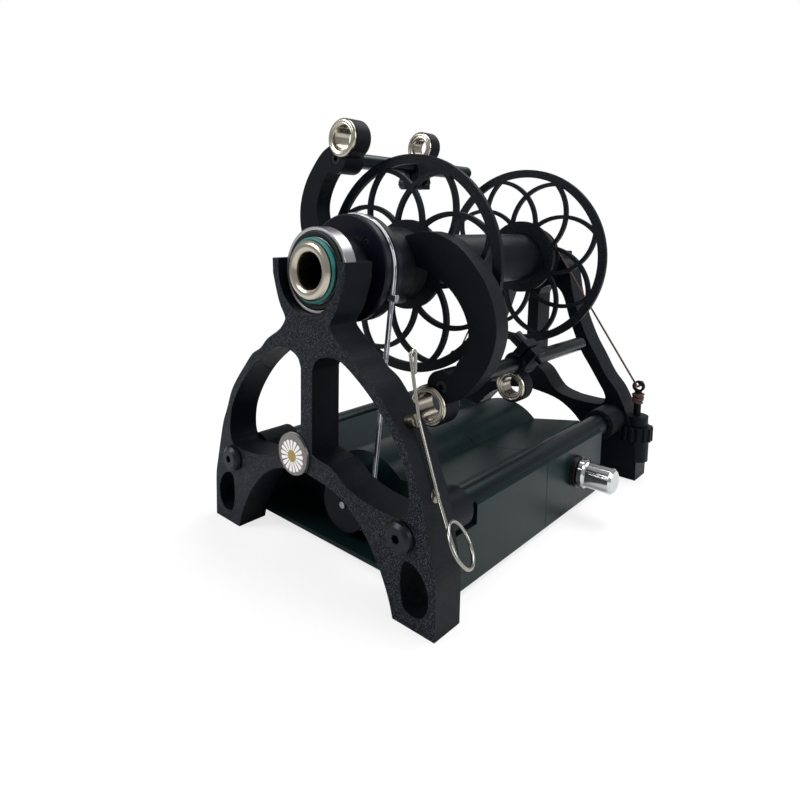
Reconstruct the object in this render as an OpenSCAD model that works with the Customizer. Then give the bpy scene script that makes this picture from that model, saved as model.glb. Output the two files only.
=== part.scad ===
// Electric yarn spinner: a motor turns an open flyer that twists yarn and winds it on a bobbin.
// Z is up, the orifice faces -Y, the origin is the middle of the footprint on the table.

/* [Stand] */
// height of the flyer's axis over the table
axis_height = 130.3; // [115:0.1:150]
// outer face of the front maiden to outer face of the rear maiden
stand_length = 214; // [204:1:240]
// width over the feet of a maiden
foot_width = 139; // [134:1:160]
// thickness of a maiden
maiden_t = 16; // [12:1:20]
// how far the rails' axes lie inside the sides of the housing
rail_inset = 7.2; // [6.5:0.1:9]
// height of the rails' axis over the table
rail_height = 34.6; // [32:0.1:38]
// outside diameter of a rail
rail_d = 12; // [10:0.5:14]
// length of the socket that stands off a maiden round a rail
socket_len = 19.5; // [10:0.5:24]
// wall of that socket
socket_wall = 2.5; // [2:0.1:4]
// diameter of the rail bolts' thread
bolt_d = 5; // [4:0.5:6]
// diameter of the rail bolts' head
bolt_head_d = 12.6; // [9:0.1:13]
// height of the rail bolts' head
bolt_head_h = 3.6; // [2:0.1:5]
// length of the rail bolts' thread
bolt_len = 28; // [20:1:35]
// width of the column under the front bearing
column_w = 7.2; // [5:0.1:12]

/* [Bearings] */
// outside diameter of the front bearing
front_bearing_od = 37; // [35:0.5:40]
// bore of the front bearing
front_bearing_id = 25; // [22:0.5:26]
// width of both bearings' rings: front
front_bearing_w = 7; // [6:0.5:9]
// outside diameter of the rear bearing
rear_bearing_od = 22; // [19:0.5:26]
// bore of the rear bearing, the flyer shaft's diameter
shaft_d = 8; // [6:0.5:10]
// width of the rear bearing
rear_bearing_w = 7; // [5:0.5:8]
// depth of the front bearing behind the front face
bearing_recess = 4.5; // [3:0.5:6]

/* [Orifice] */
// clear diameter of the orifice
orifice_d = 15.3; // [10:0.1:17]
// diameter of the grommet's front lip
lip_d = 25.6; // [22:0.1:27]
// outside diameter of the O-ring behind the lip
o_ring_d = 28.2; // [27:0.1:32]

/* [Flyer] */
// distance of the two rods from the axis
rod_radius = 62.4; // [60:0.1:70]
// direction of the upper rod, seen from the front
rod_angle = 123.2; // [110:0.1:135]
// diameter of the rods
rod_d = 8; // [6:0.5:9]
// length of the upper rod
upper_rod_len = 113.5; // [90:0.5:125]
// gap between the end of the lower rod and the rear maiden
rod_gap = 3; // [2:0.5:30]
// thickness of the yoke
yoke_t = 9.5; // [8:0.5:12]
// diameter of the whorl
whorl_d = 48.4; // [40:0.2:50]
// diameter at which the band runs on the whorl
whorl_band_d = 44.8; // [36:0.2:46]
// diameter of the barrel between whorl and yoke
barrel_d = 37; // [30:0.5:40]
// diameter of the lip of the grommets in the yoke
eyelet_d = 16.4; // [14:0.2:16.6]
// diameter of the lips of the grommets that slide
slide_eyelet_d = 13.6; // [12:0.2:15]

/* [Bobbin] */
// diameter of the flanges
flange_d = 106.8; // [80:0.2:107]
// thickness of the flanges
flange_t = 2.4; // [2:0.1:4]
// width of the flanges' rim
rim_w = 4.6; // [3:0.1:8]
// width of the lattice's strands
strand_w = 2.3; // [1.6:0.1:4]
// number of interlaced circles in a flange
petals = 8; // [6:1:12]
// diameter of the disc in the middle of a flange
flange_hub_d = 44; // [36:1:60]
// diameter of the core
core_d = 28.6; // [24:0.1:40]
// gap between the bobbin's brake drum and the rear maiden
drum_gap = 3.5; // [2:0.1:28]
// diameter of the brake drum
drum_d = 36; // [28:1:50]

/* [Drive] */
// diameter of the motor
motor_d = 32; // [24:1:36]
// length of the motor
motor_len = 57; // [40:1:60]
// diameter at which the band runs on the motor's pulley
pulley_band_d = 22.4; // [16:0.2:24]
// height of the motor's axis over the table
motor_height = 20.7; // [20:0.1:24]
// thickness of the band
band_d = 2.4; // [1.5:0.1:3]

/* [Housing] */
// width of the housing
housing_w = 121; // [119:0.5:130]
// wall of the housing
wall = 2.4; // [1.6:0.1:3]
// radius of the hump over the motor
hump_r = 27.5; // [24:0.5:30]
// height of the hump's top over the table
hump_top = 41.4; // [40:0.1:46]
// place of the seam between the two shells
seam_y = -4.5; // [-10:0.5:10]

/* [Controls] */
// diameter of the speed knob's grip
knob_d = 13.2; // [10:0.2:16]
// length of the speed knob with its skirt
knob_len = 17; // [10:0.5:20]
// place of the speed knob along the side
knob_y = 28.5; // [20:0.5:40]
// height of the speed knob over the table
knob_height = 22; // [16:0.5:24]
// diameter of the brake thumbwheel
wheel_d = 18.4; // [14:0.2:22]
// number of notches in the thumbwheel
wheel_notches = 14; // [8:1:20]
// pitch of the brake screw
screw_pitch = 0.8; // [0.5:0.1:1.25]

/* [Fits] */
// running gap between a turning piece and its bore, on the radius
running = 0.08; // [0.03:0.01:0.1]
// gap round a piece that only sits in its place, on the radius
sitting = 0.05; // [0.03:0.01:0.1]
// gap between pieces that move past each other in the open
apart = 0.4; // [0.3:0.05:1]

/* [Hidden] */
$fn = 64;

foot_half = foot_width/2;
rail_x = housing_w/2 - rail_inset;
rail_r = rail_d/2;
socket_r = rail_r + socket_wall;
rail_in = 2;
front_y = -stand_length/2;
maiden_back = front_y + maiden_t;
rear_y = stand_length/2;
rear_front = rear_y - maiden_t;
knob_tip_x = housing_w/2 + 3 + knob_len;
mid_x = (knob_tip_x - foot_half)/2;

// places along the axis, from the front
front_brg_y = front_y + bearing_recess;
shoulder_y = front_brg_y + front_bearing_w;
whorl_y = shoulder_y + 11.5;
whorl_w = 11;
band_y = whorl_y + whorl_w/2;
barrel_y = whorl_y + whorl_w;
yoke_y = barrel_y + 15.5;
yoke_back = yoke_y + yoke_t;
bobbin_y = yoke_back + 5.8;
drum_len = 14.6;
bobbin_end = rear_front - drum_gap - drum_len;
bobbin_len = bobbin_end - bobbin_y;
groove_y = bobbin_end + 11.6;
rear_brg_y = rear_y - 4.5 - rear_bearing_w;
shaft_end = rear_brg_y + rear_bearing_w + 2;

brg_r = front_bearing_od/2;
tube_r = front_bearing_id/2;
shaft_r = shaft_d/2;
rod_x = rod_radius*cos(rod_angle);
rod_z = rod_radius*sin(rod_angle);
ratio = whorl_band_d/pulley_band_d;

black = [0.045, 0.048, 0.055];
shell_black = [0.06, 0.065, 0.072];
steel = [0.72, 0.72, 0.7];
nickel = [0.8, 0.79, 0.74];
dark = [0.1, 0.1, 0.11];
teal = [0.03, 0.36, 0.33];
clear = [0.85, 0.88, 0.9];
brown = [0.14, 0.06, 0.05];

// the model stands with its box centred on the origin
module placed() { translate([-mid_x, 0, 0]) children(); }
module on_axis(y) { translate([0, y, axis_height]) children(); }
// a revolved or round body along +Y, from y = 0
module along_y(h, r) { rotate([-90, 0, 0]) cylinder(h = h, r = r); }
module ring_y(h, r, bore) {
    rotate([-90, 0, 0]) difference() {
        cylinder(h = h, r = r);
        translate([0, 0, -1]) cylinder(h = h + 2, r = bore);
    }
}
module turned_y() { rotate([-90, 0, 0]) rotate_extrude() children(); }
// a flat shape drawn in X and Z, made thick along +Y from y = 0
module plate_y(h) { translate([0, h, 0]) rotate([90, 0, 0]) linear_extrude(h) children(); }
module both_sides() { children(); mirror([1, 0, 0]) children(); }

// smooth outline through hand-chosen points, n steps between two of them
function bend(a, b, c, d, t) = 0.5*(2*b + (c - a)*t + (2*a - 5*b + 4*c - d)*t*t
    + (3*b - a - 3*c + d)*t*t*t);
function smooth(p, n) = let(k = len(p)) concat([for (i = [0:k - 2]) for (j = [0:n - 1])
    bend(p[max(i - 1, 0)], p[i], p[i + 1], p[min(i + 2, k - 1)], j/n)], [p[k - 1]]);
function smooth_loop(p, n) = let(k = len(p)) [for (i = [0:k - 1]) for (j = [0:n - 1])
    bend(p[(i + k - 1) % k], p[i], p[(i + 1) % k], p[(i + 2) % k], j/n)];
function flip(p) = [for (i = [len(p) - 1:-1:0]) [-p[i][0], p[i][1]]];
function polar(a, r) = [r*cos(a), r*sin(a)];

// maiden points are fractions: x of half the foot width, z of the axis height, from the axis
function m(x, z) = [x*foot_half, z*axis_height];
arch = smooth([m(0.715, -1), m(0.68, -0.94), m(0.605, -0.86), m(0.5, -0.785), m(0.4, -0.735),
    m(0.25, -0.694), m(0, -0.672)], 4);
foot_slot = smooth_loop([m(0.79, -0.806), m(0.88, -0.812), m(0.945, -0.858), m(0.952, -0.912),
    m(0.91, -0.951), m(0.84, -0.957), m(0.785, -0.94), m(0.765, -0.87)], 4);

module maiden_arch(outer) {
    half = concat(outer, arch);
    polygon(concat(half, flip([for (i = [0:len(half) - 2]) half[i]])));
}
module maiden_sockets(y, len) {
    both_sides() translate([rail_x, y, rail_height]) along_y(len, socket_r);
}
module rail_holes(y0, y1, mouth_y, mouth_len) {
    both_sides() {
        translate([rail_x, y0, rail_height]) along_y(y1 - y0, bolt_d/2 + sitting);
        translate([rail_x, mouth_y, rail_height]) along_y(mouth_len, rail_r + sitting);
    }
}

module front_outline() {
    outer = concat([[brg_r, 0], [brg_r, 4.6], [brg_r + 4, 4.6]],
        smooth([[brg_r + 3.7, -2], m(0.285, -0.075), m(0.25, -0.12), m(0.209, -0.153),
        m(0.205, -0.172), m(0.26, -0.207), m(0.38, -0.247), m(0.455, -0.286), m(0.545, -0.315),
        m(0.635, -0.368), m(0.72, -0.422), m(0.79, -0.476), m(0.85, -0.553), m(0.9, -0.614),
        m(0.945, -0.706), m(0.972, -0.768), m(0.997, -0.83), m(1, -0.92), m(1, -1)], 4));
    maiden_arch(outer);
}
module front_window() {
    x0 = column_w/2;
    polygon(concat(smooth([[x0, -0.6*axis_height], m(0.12, -0.61), m(0.23, -0.62),
        m(0.37, -0.665), m(0.55, -0.685), m(0.72, -0.688), m(0.79, -0.674), m(0.815, -0.63),
        m(0.8, -0.56), m(0.745, -0.495), m(0.665, -0.432), m(0.565, -0.372), m(0.44, -0.317),
        m(0.3, -0.271), m(0.2, -0.265), m(0.12, -0.275), [x0 + 1.6, -0.291*axis_height]], 4),
        [[x0, -0.32*axis_height]]));
}
module front_maiden() color(black) placed() difference() {
    union() {
        on_axis(front_y) plate_y(maiden_t) difference() {
            union() {
                front_outline();
                circle(r = brg_r + 2.6, $fn = 96);
            }
            translate([-brg_r, 0]) square([2*brg_r, brg_r + 9]);
            translate([-brg_r - 9, 4.6]) square([2*brg_r + 18, brg_r + 9]);
            both_sides() {
                front_window();
                polygon(foot_slot);
            }
        }
        maiden_sockets(maiden_back - 0.5, socket_len + 0.5);
    }
    on_axis(front_y - 1) along_y(shoulder_y - front_y + 1, brg_r + sitting, $fn = 96);
    on_axis(shoulder_y - 1) along_y(maiden_t, brg_r - 2, $fn = 96);
    rail_holes(front_y - 1, maiden_back, maiden_back - rail_in, socket_len + rail_in + 1);
    for (i = [0, 1]) hook_magnet(i, sitting);
}

module rear_outline() {
    r = rear_bearing_od/2;
    outer = concat([[r, 0], [r, 3.5], [r + 4, 3.5]],
        smooth([[r + 6.4, -1.3], m(0.317, -0.041), m(0.35, -0.105), m(0.374, -0.167),
        m(0.447, -0.282), m(0.531, -0.381), m(0.613, -0.453), m(0.709, -0.539), m(0.806, -0.6),
        m(0.892, -0.69), m(0.965, -0.8), m(0.997, -0.9), m(1, -1)], 4));
    maiden_arch(outer);
}
module rear_window() {
    x0 = column_w/2;
    polygon(concat(smooth([[x0, -0.55*axis_height], m(0.13, -0.575), m(0.25, -0.652),
        m(0.38, -0.677), m(0.5, -0.683), m(0.62, -0.683), m(0.695, -0.672), m(0.71, -0.633),
        m(0.64, -0.57), m(0.55, -0.497), m(0.49, -0.45), m(0.425, -0.381), m(0.35, -0.282),
        m(0.295, -0.195), m(0.235, -0.15), m(0.15, -0.14), [x0 + 1.5, -0.16*axis_height]], 4),
        [[x0, -0.19*axis_height]]));
}
module rear_maiden() color(black) placed() difference() {
    union() {
        on_axis(rear_front) plate_y(maiden_t) difference() {
            union() {
                rear_outline();
                circle(r = rear_bearing_od/2 + 6.4, $fn = 96);
            }
            translate([-rear_bearing_od/2, 0]) square([rear_bearing_od, 30]);
            translate([-30, 3.5]) square([60, 30]);
            both_sides() rear_window();
            mirror([1, 0]) polygon(foot_slot);
        }
        maiden_sockets(rear_front - socket_len + 2, socket_len - 1.5);
        translate([brake_x, brake_y, 0]) {
            translate([0, 0, wheel_top - wheel_h - 12.7]) cylinder(h = 12.7, r = 7.3);
            translate([0, 0, wheel_top]) cylinder(h = 6.3, r = 6.3);
            translate([-12, -6.3, wheel_top]) cube([12, 12.6, 6.3]);
        }
    }
    on_axis(rear_brg_y) along_y(rear_bearing_w + 9, rear_bearing_od/2 + sitting);
    on_axis(rear_front - 1) along_y(rear_brg_y - rear_front + 2, rear_bearing_od/2 - 1.5);
    rail_holes(rear_front, rear_y + 1, rear_front - socket_len + 1, socket_len + rail_in - 1);
    translate([brake_x, brake_y, 0]) {
        translate([0, 0, wheel_top - wheel_h - 0.3]) cylinder(h = wheel_h + 0.6, r = wheel_d/2 + 0.5);
        cylinder(h = 60, r = post_r + running);
    }
    translate([anchor_x + 6, brake_y, anchor_z]) rotate([0, -90, 0])
        cylinder(h = 30, r = 1.5 + sitting, $fn = 32);
}

module rails() color(dark) placed() both_sides() difference() {
    translate([rail_x, maiden_back - rail_in, rail_height])
        along_y(stand_length - 2*maiden_t + 2*rail_in, rail_r);
    for (s = [-1, 1]) translate([rail_x, s*(rear_y - bolt_len/2 - 1.5), rail_height])
        translate([0, -bolt_len/2 - 2, 0]) along_y(bolt_len + 4, bolt_d/2 + sitting);
}
module button_head(r, h, key) {
    rotate([-90, 0, 0]) difference() {
        rotate_extrude() polygon([[0, 0], [r*0.72, 0], [r*0.93, h*0.35], [r, h*0.75], [r, h],
            [0, h]]);
        translate([0, 0, -1]) cylinder(h = h*0.7 + 1, r = key, $fn = 6);
    }
}
module rail_bolt() {
    translate([0, -bolt_head_h, 0]) button_head(bolt_head_d/2, bolt_head_h, 1.9);
    along_y(bolt_len, bolt_d/2);
}
module rail_bolts() color(dark) placed() both_sides() translate([rail_x, 0, rail_height]) {
    translate([0, front_y, 0]) rail_bolt();
    translate([0, rear_y, 0]) mirror([0, 1, 0]) rail_bolt();
}

// housing: clips from below on the two rails
hump_z = hump_top - hump_r;
shell_half = housing_w/2;
shell_bottom = 2.3;
shell_front = maiden_back + 1.5;
plate_front = shell_front + 23;
shell_end = rear_front - 30.5;
lip_z = rail_height + 1.8;
plate_edge = rail_x - 6.4;
plate_z = rail_height + 3.9;
foot_z = hump_top - 8.1;
notch_z = rail_height - 7.3;
module shell_outside() {
    difference() {
        union() {
            polygon([[-shell_half, shell_bottom], [shell_half, shell_bottom],
                [shell_half, lip_z - 1], [shell_half - 1, lip_z], [rail_x, rail_height + 3],
                [plate_edge, plate_z], [19.5, foot_z], [-19.5, foot_z], [-plate_edge, plate_z],
                [-rail_x, rail_height + 3], [-shell_half + 1, lip_z], [-shell_half, lip_z - 1]]);
            intersection() {
                translate([0, hump_z]) circle(r = hump_r, $fn = 96);
                translate([-shell_half, foot_z - 1]) square([housing_w, 40]);
            }
        }
        both_sides() translate([rail_x, rail_height]) {
            circle(r = rail_r + sitting);
            polygon([[0, 0], polar(24, 20), polar(149, 20)]);
        }
    }
}
module shell_inside() {
    difference() {
        union() {
            polygon([[-shell_half + wall, 0], [shell_half - wall, 0],
                [shell_half - wall, notch_z + 2], [rail_x, rail_height],
                [plate_edge, plate_z - wall], [19.5, foot_z - wall], [-19.5, foot_z - wall],
                [-plate_edge, plate_z - wall], [-rail_x, rail_height],
                [-shell_half + wall, notch_z + 2]]);
            intersection() {
                translate([0, hump_z]) circle(r = hump_r - wall, $fn = 96);
                translate([-shell_half, foot_z - 5]) square([housing_w, 40]);
            }
        }
        both_sides() translate([rail_x, rail_height]) circle(r = rail_r + wall);
    }
}
module shell(y0, y1, front_wall, rear_wall) {
    in0 = front_wall > 0 ? y0 + front_wall : y0 - 1;
    in1 = rear_wall > 0 ? y1 - rear_wall : y1 + 1;
    difference() {
        translate([0, y0, 0]) plate_y(y1 - y0) shell_outside();
        translate([0, in0, 0]) plate_y(in1 - in0) shell_inside();
        translate([-shell_half + wall, y0 - 1, 0])
            cube([housing_w - 2*wall, in1 - y0 + 1, cover_z + cover_t]);
    }
}
cover_t = 2;
cover_z = shell_bottom;
cover_screw_x = shell_half - 9;
module post_at(y) { both_sides() translate([cover_screw_x, y, 0]) children(); }
module shell_post(y) {
    post_at(y) translate([0, 0, cover_z + cover_t]) cylinder(h = rail_height - rail_r - 1 - cover_z
        - cover_t, r = 3.4, $fn = 32);
}
module post_hole(y) { post_at(y) cylinder(h = cover_z + cover_t + 9, r = 1.3 + sitting, $fn = 32); }
module motor_axis(y) { translate([0, y, motor_height]) children(); }
motor_y = plate_front + 3;
motor_hole_r = 12.5;
module housing_front_shell() color(shell_black) placed() difference() {
    union() {
        shell(plate_front, seam_y, 3, 0);
        intersection() {
            shell(shell_front, plate_front + 1, 0, 0);
            translate([-shell_half - 1, shell_front - 1, 0])
                cube([housing_w + 2, 40, notch_z]);
        }
        shell_post(front_post_y);
    }
    post_hole(front_post_y);
    motor_axis(plate_front - 1) {
        along_y(6, 6 + sitting);
        for (a = [0, 180]) rotate([0, a, 0]) translate([motor_hole_r, 0, 0])
            along_y(6, 1.5 + sitting);
    }
    both_sides() translate([rail_x, shell_front - 1, rail_height])
        along_y(socket_len + 0.5, socket_r + 0.3);
}
pot_r = 3.5;
rocker_y = knob_y - 10;
rocker_z = knob_height - 2;
post_inset = 12;
front_post_y = plate_front + post_inset;
rear_post_y = shell_end - post_inset;
seam_gap = 0.35;
module housing_rear_shell() color(shell_black) placed() difference() {
    union() {
        shell(seam_y + seam_gap, shell_end, 0, wall);
        shell_post(rear_post_y);
    }
    post_hole(rear_post_y);
    translate([shell_half - wall - 1, knob_y, knob_height]) rotate([0, 90, 0])
        cylinder(h = wall + 2, r = pot_r + sitting);
    translate([-shell_half - 1, rocker_y - 7 - sitting, rocker_z - 5 - sitting])
        cube([wall + 2, 14 + 2*sitting, 10 + 2*sitting]);
    translate([-shell_half - 1, inlet_y, knob_height]) rotate([0, 90, 0])
        cylinder(h = wall + 2, r = 4 + sitting);
}
module housing_bottom_cover() color(shell_black) placed() difference() {
    translate([-shell_half + wall + sitting, shell_front + 0.4, cover_z])
        cube([housing_w - 2*wall - 2*sitting, shell_end - wall - shell_front - 0.8, cover_t]);
    post_hole(front_post_y);
    post_hole(rear_post_y);
}
module cover_screws() color(dark) placed() for (y = [front_post_y, rear_post_y]) post_at(y) {
    translate([0, 0, cover_z - 0.1]) cylinder(h = cover_t + 8, r = 1.3, $fn = 32);
    translate([0, 0, cover_z - 1.6]) cylinder(h = 1.6, r = 2.6, $fn = 32);
}
module rubber_feet() color([0.07, 0.07, 0.07]) placed() both_sides()
    for (y = [shell_front + 12, shell_end - 30]) translate([cover_screw_x - 8, y, 0])
        cylinder(h = shell_bottom, r = 6);

// drive
pulley_r = pulley_band_d/2;
module motor_can() color(steel) placed() motor_axis(motor_y) difference() {
    union() {
        turned_y() polygon([[0, 0], [motor_d/2 - 1, 0], [motor_d/2, 1], [motor_d/2, motor_len - 1],
            [motor_d/2 - 1, motor_len], [0, motor_len]]);
        translate([0, -3, 0]) along_y(3.5, 6);
    }
    translate([0, -4, 0]) along_y(motor_len - 6, 1.6 + running);
    for (a = [0, 180]) rotate([0, a, 0]) translate([motor_hole_r, -1, 0])
        along_y(7, 1.5 + sitting);
}
module motor_screws() color(dark) placed() motor_axis(motor_y)
    for (a = [0, 180]) rotate([0, a, 0]) translate([motor_hole_r, -4.6, 0]) {
        along_y(9, 1.5);
        button_head(2.8, 1.6, 1);
    }
module motor_shaft() color(steel) placed() motor_axis(band_y - 6.5)
    along_y(motor_y - band_y + 40, 1.6);
module motor_pulley() color(dark) placed() motor_axis(band_y) difference() {
    turned_y() polygon(concat([[0, -5.5], [pulley_r + 1.8, -5.5], [pulley_r + 1.8, -3.2]],
        [for (a = [-60:20:60]) [pulley_r + band_d/2 - (band_d/2 + 0.1)*cos(a),
        (band_d/2 + 0.1)*sin(a)]], [[pulley_r + 1.8, 3.2], [pulley_r + 1.8, 5.5], [0, 5.5]]));
    translate([0, -6, 0]) along_y(12, 1.6);
}
whorl_r = whorl_band_d/2;
band_r = band_d/2;
band_gap = axis_height - motor_height;
// the band leaves both pulleys at this angle from square to the line between them
band_tilt = asin((whorl_r - pulley_r)/band_gap);
module band_arc(r, a0, a1) {
    rotate([90, 0, 0]) rotate([0, 0, a0]) rotate_extrude(angle = a1 - a0, $fn = 72)
        translate([r, 0]) circle(r = band_r, $fn = 12);
}
module drive_band() color(clear) placed() translate([0, band_y, 0]) {
    run = band_gap*cos(band_tilt);
    translate([0, 0, axis_height]) band_arc(whorl_r + band_r, -band_tilt, 180 + band_tilt);
    translate([0, 0, motor_height])
        band_arc(pulley_r + band_r, 180 + band_tilt, 360 - band_tilt);
    both_sides() translate([0, 0, motor_height]) rotate([0, band_tilt, 0])
        translate([pulley_r + band_r, 0, 0]) {
            cylinder(h = run, r = band_r, $fn = 12);
            for (z = [0, run]) translate([0, 0, z]) sphere(r = band_r*1.03, $fn = 24);
        }
    translate([0, 0, axis_height]) rotate([0, band_tilt, 0])
        translate([whorl_r + band_r, 0, -9]) rotate([0, 90, 0])
        translate([0, 0, -1.2]) cylinder(h = 4, r = 1.7, $fn = 24);
}
module control_board() color([0.05, 0.2, 0.1]) placed()
    translate([-40, 2, cover_z + cover_t]) cube([60, 40, 1.6]);
inlet_y = shell_end - 24;
module power_inlet() color(dark) placed() translate([-shell_half, inlet_y, knob_height])
    rotate([0, 90, 0]) difference() {
        union() {
            translate([0, 0, -1.4]) cylinder(h = 1.4, r = 5.4);
            cylinder(h = 14, r = 4);
        }
        difference() {
            translate([0, 0, -2]) cylinder(h = 12, r = 2.8);
            cylinder(h = 14, r = 0.95, $fn = 24);
        }
    }
module rocker_frame() color(dark) placed() translate([-shell_half, rocker_y, rocker_z])
    difference() {
        union() {
            translate([-1.4, -9, -7]) cube([1.4, 18, 14]);
            translate([0, -7, -5]) cube([9, 14, 10]);
        }
        translate([-3, -6, -3.8]) cube([10, 12, 7.6]);
        translate([1.4, 0, -6]) cylinder(h = 12, r = 0.9 + sitting, $fn = 24);
    }
module rocker_pin() color(steel) placed() translate([-shell_half + 1.4, rocker_y, rocker_z])
    translate([0, 0, -4.9]) cylinder(h = 9.8, r = 0.9, $fn = 24);
module direction_rocker() color(dark) placed()
    translate([-shell_half + 1.4, rocker_y, rocker_z]) difference() {
        translate([0, 0, -3.5]) linear_extrude(7)
            polygon([[-3, -5.4], [-2.4, 0], [-3, 5.4], [-1.8, 5.5], [3.2, 2.2], [3.2, -2.2],
            [-1.8, -5.5]]);
        translate([0, 0, -4]) cylinder(h = 8, r = 0.9 + running, $fn = 24);
    }
module side_axis(x) { translate([x, knob_y, knob_height]) rotate([0, 90, 0]) children(); }
module speed_pot() color(dark) placed() side_axis(shell_half - wall) difference() {
    union() {
        translate([-3.8, -5, -7]) cube([12, 10, 7]);
        cylinder(h = wall + 2.9, r = pot_r);
    }
    translate([0, 0, -6]) cylinder(h = 20, r = 1.5 + running);
}
module speed_pot_shaft() color(steel) placed() side_axis(shell_half - wall - 5)
    cylinder(h = wall + 5 + 3 + 11, r = 1.5);
module pot_washer() color([0.03, 0.03, 0.03]) placed() side_axis(shell_half) difference() {
    cylinder(h = 2.4, r = 8.2);
    translate([0, 0, -1]) cylinder(h = 5, r = pot_r + sitting);
}
module speed_knob() color(steel) placed() side_axis(shell_half + 3) difference() {
    rotate_extrude() polygon([[0, 0], [7.2, 0], [7.6, 0.5], [7.5, 2.6], [knob_d/2 + 0.2, 3.4],
        [knob_d/2, 4.2], [knob_d/2, knob_len - 1.2], [knob_d/2 - 1.1, knob_len], [0, knob_len]]);
    translate([0, 0, -1]) cylinder(h = 12, r = 1.5);
}

// bearings: an outer ring with its shields, and an inner ring that turns
module outer_race(od, id, w) {
    mid = (od + id)/4;
    turned_y() polygon([[mid + 1.4, 0.3], [od/2 - 0.4, 0], [od/2, 0.4], [od/2, w - 0.4],
        [od/2 - 0.4, w], [mid + 1.4, w - 0.3], [mid + 1.4, w - 0.7], [id/2 + 1.7 + running, w - 0.7],
        [id/2 + 1.7 + running, w - 1.4], [mid + 1.4, w - 1.4], [mid + 1.4, 1.4],
        [id/2 + 1.7 + running, 1.4], [id/2 + 1.7 + running, 0.7], [mid + 1.4, 0.7]]);
}
module inner_race(id, w) {
    turned_y() polygon([[id/2 + sitting, 0.3], [id/2 + sitting + 0.3, 0], [id/2 + 1.7, 0],
        [id/2 + 1.7, w], [id/2 + sitting + 0.3, w], [id/2 + sitting, w - 0.3]]);
}
module front_bearing_outer() color(steel) placed() on_axis(front_brg_y)
    outer_race(front_bearing_od, front_bearing_id, front_bearing_w, $fn = 96);
module front_bearing_inner() color(steel) placed() on_axis(front_brg_y)
    inner_race(front_bearing_id, front_bearing_w, $fn = 96);
module rear_bearing_outer() color(steel) placed() on_axis(rear_brg_y)
    outer_race(rear_bearing_od, shaft_d, rear_bearing_w);
module rear_bearing_inner() color(steel) placed() on_axis(rear_brg_y)
    inner_race(shaft_d, rear_bearing_w);

// flyer
hole_r = orifice_d/2;
lip_r = lip_d/2;
module orifice_grommet() color(nickel) placed() on_axis(front_y + 0.1) turned_y()
    polygon(concat(smooth([[hole_r, 2.4], [hole_r + 0.5, 0.9], [hole_r + 2, 0], [lip_r - 1.2, 0.2],
        [lip_r, 1.4]], 4), [[lip_r - 0.3, 2], [hole_r + 0.9, 2], [hole_r + 0.9, 12],
        [hole_r, 12]]));
module orifice_o_ring() color(teal) placed() on_axis(front_y + 2.2) turned_y()
    polygon([[tube_r, 0.3], [tube_r + 0.4, 0], [o_ring_d/2 - 0.7, 0], [o_ring_d/2, 0.7],
        [o_ring_d/2, 1.5], [o_ring_d/2 - 0.7, 2.2], [tube_r + 0.4, 2.2], [tube_r, 1.9]]);
module orifice_tube() color(black) placed() difference() {
    union() {
        on_axis(front_y + 2.3) along_y(whorl_y - front_y - 2.3, tube_r);
        on_axis(shoulder_y) along_y(whorl_y - shoulder_y, tube_r + 2);
    }
    on_axis(front_y) along_y(whorl_y - front_y + 1, hole_r + 1);
}
module orifice_hub() color(black) placed() difference() {
    union() {
        on_axis(whorl_y) along_y(whorl_w, barrel_d/2 - 3);
        on_axis(barrel_y) along_y(yoke_y - barrel_y, barrel_d/2);
    }
    on_axis(whorl_y - 1) along_y(yoke_y - whorl_y - 3.5, hole_r + 1);
    for (a = [90, 270]) on_axis(barrel_y + 8) rotate([0, -a, 0])
        rotate([0, 90, 0]) cylinder(h = barrel_d, r = 4.6);
    whorl_screw_holes();
    on_axis(yoke_y - 3.5) along_y(5, shaft_r + sitting);
}
screw_ring_r = (barrel_d/2 + 15.5)/2;
module whorl_screw_at() {
    for (a = [45, 165, 285]) on_axis(whorl_y) rotate([0, -a, 0])
        translate([screw_ring_r, 0, 0]) children();
}
module whorl_screw_holes() {
    whorl_screw_at() along_y(whorl_w + 3, 1 + sitting);
    whorl_screw_at() translate([0, -1, 0]) along_y(2.2, 1.9 + sitting);
}
module drive_whorl() color(black) placed() difference() {
    on_axis(whorl_y) turned_y() polygon(concat([[barrel_d/2 - 3 + sitting, 0], [whorl_d/2 - 0.6, 0],
        [whorl_d/2, 0.6], [whorl_d/2, whorl_w/2 - 2.2]],
        [for (a = [-70:20:70]) [whorl_r + band_r - (band_r + 0.1)*cos(a),
        whorl_w/2 + (band_r + 0.1)*sin(a)]], [[whorl_d/2, whorl_w/2 + 2.2],
        [whorl_d/2, whorl_w - 0.6], [whorl_d/2 - 0.6, whorl_w],
        [barrel_d/2 - 3 + sitting, whorl_w]]), $fn = 96);
    whorl_screw_holes();
}
module whorl_screws() color(dark) placed() whorl_screw_at() {
    translate([0, 0.1, 0]) button_head(1.9, 1.1, 0.7);
    translate([0, 1, 0]) along_y(whorl_w + 1.8, 1);
}

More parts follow.
